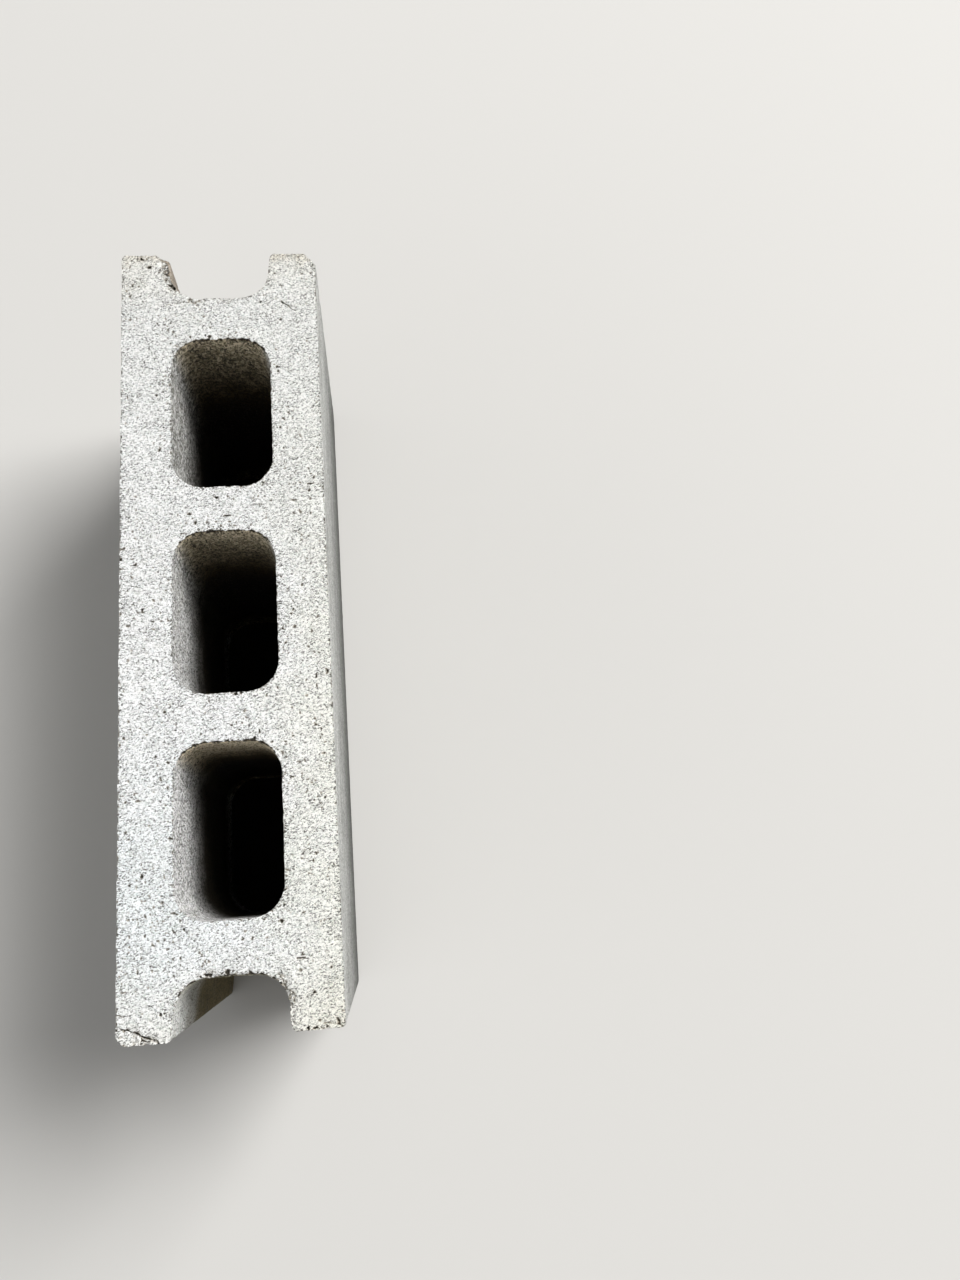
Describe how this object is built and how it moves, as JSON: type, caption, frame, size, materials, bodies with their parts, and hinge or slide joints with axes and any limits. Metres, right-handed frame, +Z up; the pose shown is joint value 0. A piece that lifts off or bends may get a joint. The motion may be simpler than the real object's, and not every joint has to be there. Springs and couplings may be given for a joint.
{
  "type": "hollow concrete block",
  "caption": "Hollow concrete building block with rounded upright cores and a grouting groove in each end.",
  "frame": {"origin": "middle of the bottom bed face, on the surface that the block stands on", "axes": "+X along the block's length, +Y across its thickness, +Z up along the cores"},
  "size_m": [0.39, 0.1, 0.19],
  "materials": {
    "concrete": "rough, porous, light grey pressed concrete with fine dark pits and crumbly arrises"
  },
  "bodies": {
    "root": {"concrete_block": "concrete"}
  },
  "joints": []
}
